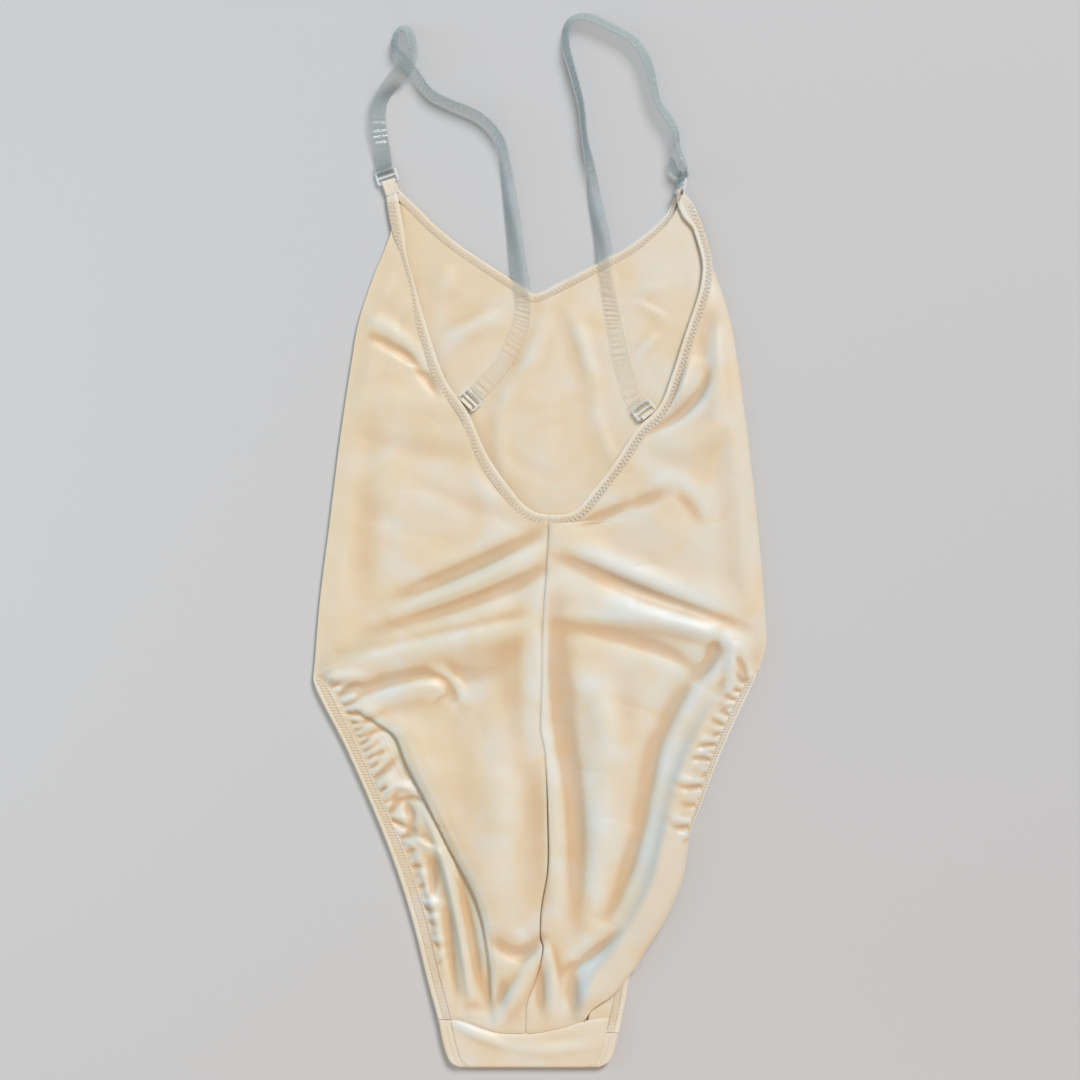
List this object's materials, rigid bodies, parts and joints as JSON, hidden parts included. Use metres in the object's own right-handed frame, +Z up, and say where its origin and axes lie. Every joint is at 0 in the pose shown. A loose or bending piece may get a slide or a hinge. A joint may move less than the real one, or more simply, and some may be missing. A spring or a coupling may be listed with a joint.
{
  "type": "camisole_leotard",
  "caption": "Camisole leotard in tan stretch knit, laid flat back side up, with low scooped back, V neckline and clear adjustable straps",
  "frame": {"origin": "the middle of the part's bounding box, on the surface that it lies on", "axes": "X across the garment, Y along it from the crotch to the straps, Z up from the surface, out of its back side"},
  "size_m": [0.3174, 0.7396, 0.0169],
  "materials": {
    "knit": "fine stretch knit with a soft sheen",
    "elastic_edge": "folded elastic edge with cover stitching",
    "clear_strap": "frosted clear elastic",
    "clear_plastic": "clear moulded plastic"
  },
  "bodies": {
    "root": {"front": "knit", "back_left": "knit", "back_right": "knit", "front_neck_band": "elastic_edge", "scoop_band_left": "elastic_edge", "scoop_band_right": "elastic_edge", "leg_band_back_left": "elastic_edge", "leg_band_back_right": "elastic_edge", "leg_band_front_left": "elastic_edge", "leg_band_front_right": "elastic_edge", "front_tab_left": "knit", "front_tab_right": "knit", "back_tab_left": "knit", "back_tab_right": "knit", "slider_front_left": "clear_plastic", "slider_front_right": "clear_plastic", "slider_back_left": "clear_plastic", "slider_back_right": "clear_plastic", "strap_left": "clear_strap", "strap_right": "clear_strap"}
  },
  "joints": []
}
